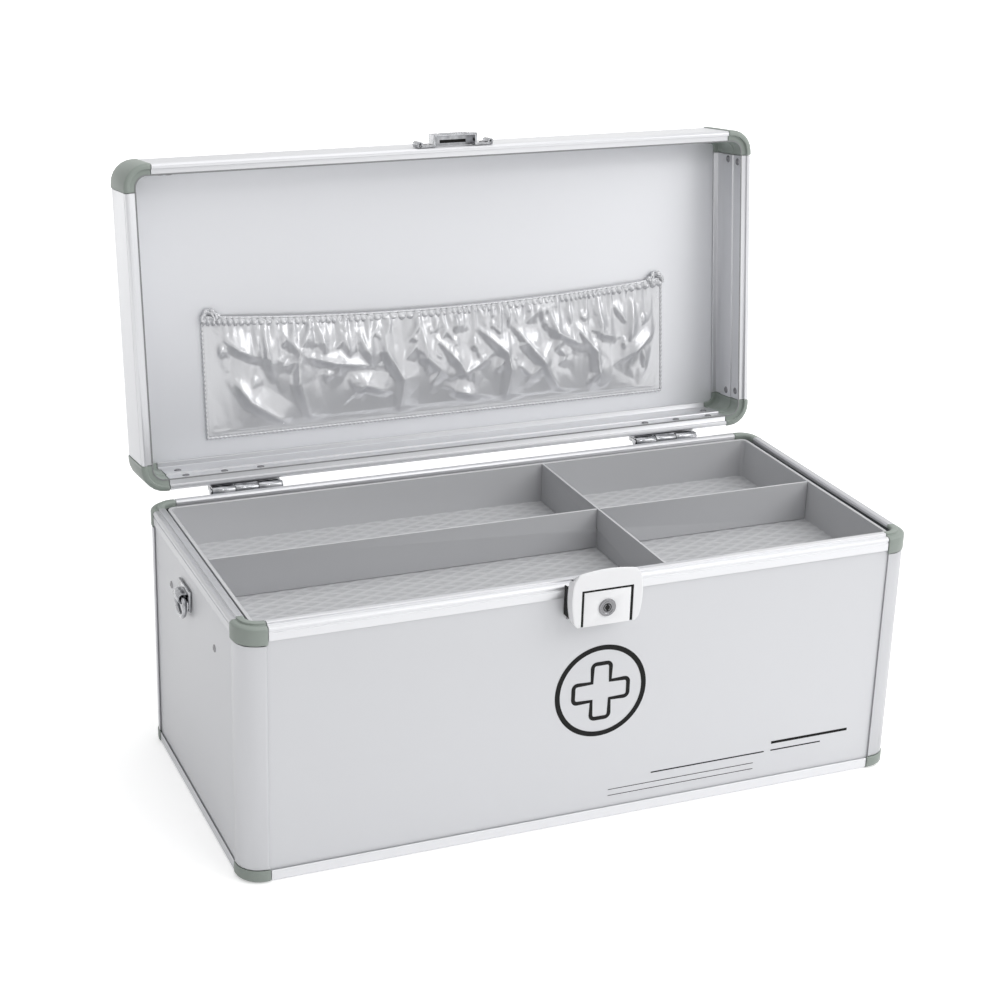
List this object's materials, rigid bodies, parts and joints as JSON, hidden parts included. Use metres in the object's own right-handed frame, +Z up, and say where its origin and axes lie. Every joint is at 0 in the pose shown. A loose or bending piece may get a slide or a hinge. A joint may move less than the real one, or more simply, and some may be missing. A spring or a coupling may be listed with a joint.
{
  "type": "medication lock box",
  "caption": "Aluminium-framed medicine case with a deep hinged lid, lid pocket, lift-out divided tray, push lock with key, carry handle and strap rings.",
  "frame": {"origin": "middle of the underside, on the surface that the case rests on", "axes": "+X along the length to the right, +Y from the lock to the hinges, +Z up"},
  "size_m": [0.3702, 0.2398, 0.313],
  "materials": {
    "board": "silver laminate, satin",
    "frame": "satin anodised",
    "corner": "moulded, matte",
    "chrome": "bright plated",
    "steel": "plain",
    "lock": "white, glossy",
    "tray": "grey, embossed",
    "cloth": "silver coated cloth",
    "grip": "dark, matte"
  },
  "bodies": {
    "base": {"bottom_panel": "board", "front_panel": "board", "right_panel": "board", "back_panel": "board", "left_panel": "board", "post_front_right": "frame", "post_back_right": "frame", "post_back_left": "frame", "post_front_left": "frame", "top_rail_front": "frame", "top_rail_right": "frame", "top_rail_back": "frame", "top_rail_left": "frame", "bottom_rail_front": "frame", "bottom_rail_right": "frame", "bottom_rail_back": "frame", "bottom_rail_left": "frame", "top_corner_front_right": "corner", "top_corner_back_right": "corner", "top_corner_back_left": "corner", "top_corner_front_left": "corner", "bottom_corner_front_right": "corner", "bottom_corner_back_right": "corner", "bottom_corner_back_left": "corner", "bottom_corner_front_left": "corner", "tray_ledge_left": "frame", "tray_ledge_right": "frame", "hinge_base_leaf_left": "chrome", "hinge_base_leaf_right": "chrome", "hinge_pin_left": "steel", "hinge_pin_right": "steel", "lock_base": "steel", "lock_housing": "lock", "lock_pin": "steel", "lock_spring": "steel", "strap_bracket_left": "chrome", "strap_bracket_right": "chrome"},
    "lid": {"lid_panel": "board", "lid_rail_front": "frame", "lid_rail_right": "frame", "lid_rail_back": "frame", "lid_rail_left": "frame", "lid_corner_front_right": "corner", "lid_corner_back_right": "corner", "lid_corner_back_left": "corner", "lid_corner_front_left": "corner", "hinge_lid_leaf_left": "chrome", "hinge_lid_leaf_right": "chrome", "keeper": "chrome", "pocket": "cloth", "handle_bracket_left": "chrome", "handle_bracket_right": "chrome"},
    "handle": {"handle": "grip"},
    "tray": {"tray": "tray", "tray_divider_long": "tray", "tray_divider_cross": "tray"},
    "flap": {"lock_flap": "lock"},
    "key": {"key_cylinder": "chrome"},
    "ring_left": {"strap_ring_left": "chrome"},
    "ring_right": {"strap_ring_right": "chrome"}
  },
  "joints": [
    {"name": "lid_hinge", "type": "hinge", "parent": "base", "child": "lid", "pos_m": [0, 0.0882, 0.1342], "axis": [-1, 0, 0], "range_deg": [-97, 0]},
    {"name": "tray_lift", "type": "slide", "parent": "base", "child": "tray", "axis": [0, 0, 1], "range_m": [0, 0.06]},
    {"name": "lock_flap", "type": "hinge", "parent": "base", "child": "flap", "pos_m": [0, -0.0943, 0.1331], "axis": [-1, 0, 0], "range_deg": [0, 30], "stiffness_Nm_per_rad": 0.02},
    {"name": "key_turn", "type": "hinge", "parent": "flap", "child": "key", "pos_m": [0, -0.0943, 0.1243], "axis": [0, -1, 0], "range_deg": [0, 90]},
    {"name": "ring_swing_left", "type": "hinge", "parent": "base", "child": "ring_left", "pos_m": [-0.1822, 0.01, 0.1125], "axis": [0, 1, 0], "range_deg": [0, 150]},
    {"name": "ring_swing_right", "type": "hinge", "parent": "base", "child": "ring_right", "pos_m": [0.1822, 0.01, 0.1125], "axis": [0, -1, 0], "range_deg": [0, 150]},
    {"name": "handle_fold", "type": "hinge", "parent": "lid", "child": "handle", "pos_m": [0, 0.13865, 0.21687], "axis": [1, 0, 0], "range_deg": [0, 90]}
  ]
}
